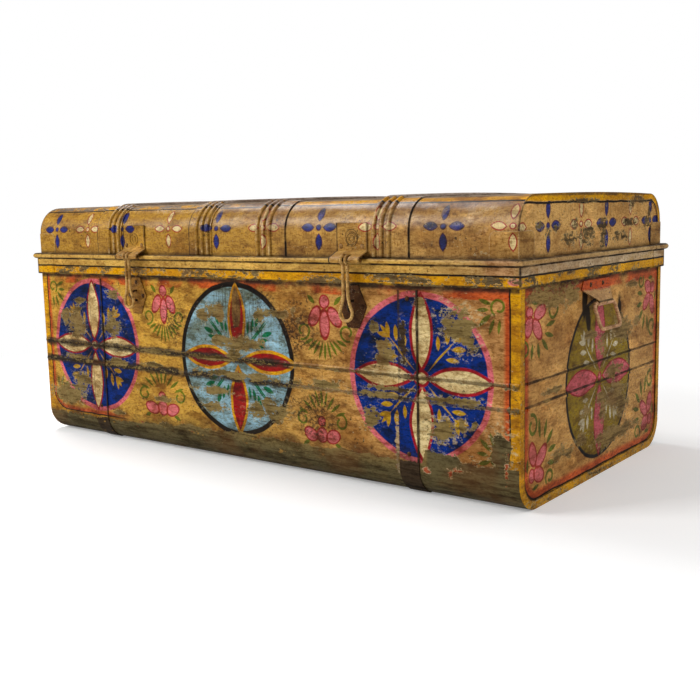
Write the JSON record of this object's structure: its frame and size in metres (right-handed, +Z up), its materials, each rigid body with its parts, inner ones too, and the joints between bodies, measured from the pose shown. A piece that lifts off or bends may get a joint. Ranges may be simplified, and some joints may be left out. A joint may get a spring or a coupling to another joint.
{
  "type": "travelling trunk",
  "caption": "Painted sheet-iron travelling trunk with a round-shouldered hinged lid, wire hasps over staples, and swinging bail handles on the ends",
  "frame": {"origin": "centre of the underside of the base sheet, on the floor", "axes": "+X to the right along the length, -Y towards the front with the hasps, +Z up"},
  "size_m": [1.0458, 0.5334, 0.4242],
  "materials": {
    "body_paint": "satin, worn hand-painted enamel over sheet iron",
    "seam_paint": "satin, worn yellow enamel",
    "lid_paint": "satin, worn hand-painted enamel over sheet iron",
    "band_iron": "rough, enamel rubbed through to dark iron",
    "rim_paint": "satin, worn two-colour enamel",
    "strap_paint": "satin, worn enamel",
    "fitting_paint": "satin, enamel rubbed off at the edges",
    "pin_iron": "dark bare iron",
    "wire_iron": "dark bare iron wire, lightly rusted",
    "rivet_iron": "dark bare iron, domed"
  },
  "bodies": {
    "chest": {"body_end_left": "body_paint", "body_end_right": "body_paint", "body_rivets": "rivet_iron", "body_seam_left": "seam_paint", "body_seam_right": "seam_paint", "body_sheet_left": "body_paint", "body_sheet_right": "body_paint", "handle_plate_left": "fitting_paint", "handle_plate_right": "fitting_paint", "hinge_leaf_body_left": "fitting_paint", "hinge_leaf_body_right": "fitting_paint", "hinge_pin_left": "pin_iron", "hinge_pin_right": "pin_iron", "joint_strip": "body_paint", "staple_left": "wire_iron", "staple_plate_left": "fitting_paint", "staple_plate_right": "fitting_paint", "staple_right": "wire_iron", "strap_back_left": "strap_paint", "strap_back_right": "strap_paint", "strap_front_left": "strap_paint", "strap_front_right": "strap_paint"},
    "lid": {"bead_back": "rim_paint", "bead_front": "rim_paint", "bead_left": "rim_paint", "bead_right": "rim_paint", "corner_plate_back_left": "rim_paint", "corner_plate_back_right": "rim_paint", "corner_plate_front_left": "rim_paint", "corner_plate_front_right": "rim_paint", "hasp_pin_left": "pin_iron", "hasp_pin_right": "pin_iron", "hasp_plate_left": "fitting_paint", "hasp_plate_right": "fitting_paint", "hinge_leaf_lid_left": "fitting_paint", "hinge_leaf_lid_right": "fitting_paint", "lid_band_inner_left": "band_iron", "lid_band_inner_right": "band_iron", "lid_band_outer_left": "band_iron", "lid_band_outer_right": "band_iron", "lid_crown": "lid_paint", "lid_end_left": "lid_paint", "lid_end_right": "lid_paint", "lid_rivets": "rivet_iron", "lid_seam_left": "seam_paint", "lid_seam_right": "seam_paint", "lid_shoulder_back_left": "lid_paint", "lid_shoulder_back_middle": "lid_paint", "lid_shoulder_back_right": "lid_paint", "lid_shoulder_front_left": "lid_paint", "lid_shoulder_front_middle": "lid_paint", "lid_shoulder_front_right": "lid_paint", "skirt_back": "rim_paint", "skirt_front": "rim_paint", "skirt_left": "rim_paint", "skirt_right": "rim_paint"},
    "hasp_left": {"hasp_left": "wire_iron"},
    "hasp_right": {"hasp_right": "wire_iron"},
    "bail_left": {"bail_left": "wire_iron"},
    "bail_right": {"bail_right": "wire_iron"}
  },
  "joints": [
    {"name": "lid_hinge", "type": "hinge", "parent": "chest", "child": "lid", "pos_m": [0, 0.2573, 0.298], "axis": [-1, 0, 0], "range_deg": [0, 105]},
    {"name": "hasp_left_swing", "type": "hinge", "parent": "lid", "child": "hasp_left", "pos_m": [-0.232, -0.2654, 0.3325], "axis": [-1, 0, 0], "range_deg": [-8, 150]},
    {"name": "hasp_right_swing", "type": "hinge", "parent": "lid", "child": "hasp_right", "pos_m": [0.232, -0.2654, 0.3325], "axis": [-1, 0, 0], "range_deg": [-8, 150]},
    {"name": "bail_left_swing", "type": "hinge", "parent": "chest", "child": "bail_left", "pos_m": [-0.5084, -0.012, 0.262], "axis": [0, 1, 0], "range_deg": [0, 85]},
    {"name": "bail_right_swing", "type": "hinge", "parent": "chest", "child": "bail_right", "pos_m": [0.5084, -0.012, 0.262], "axis": [0, -1, 0], "range_deg": [0, 85]}
  ]
}
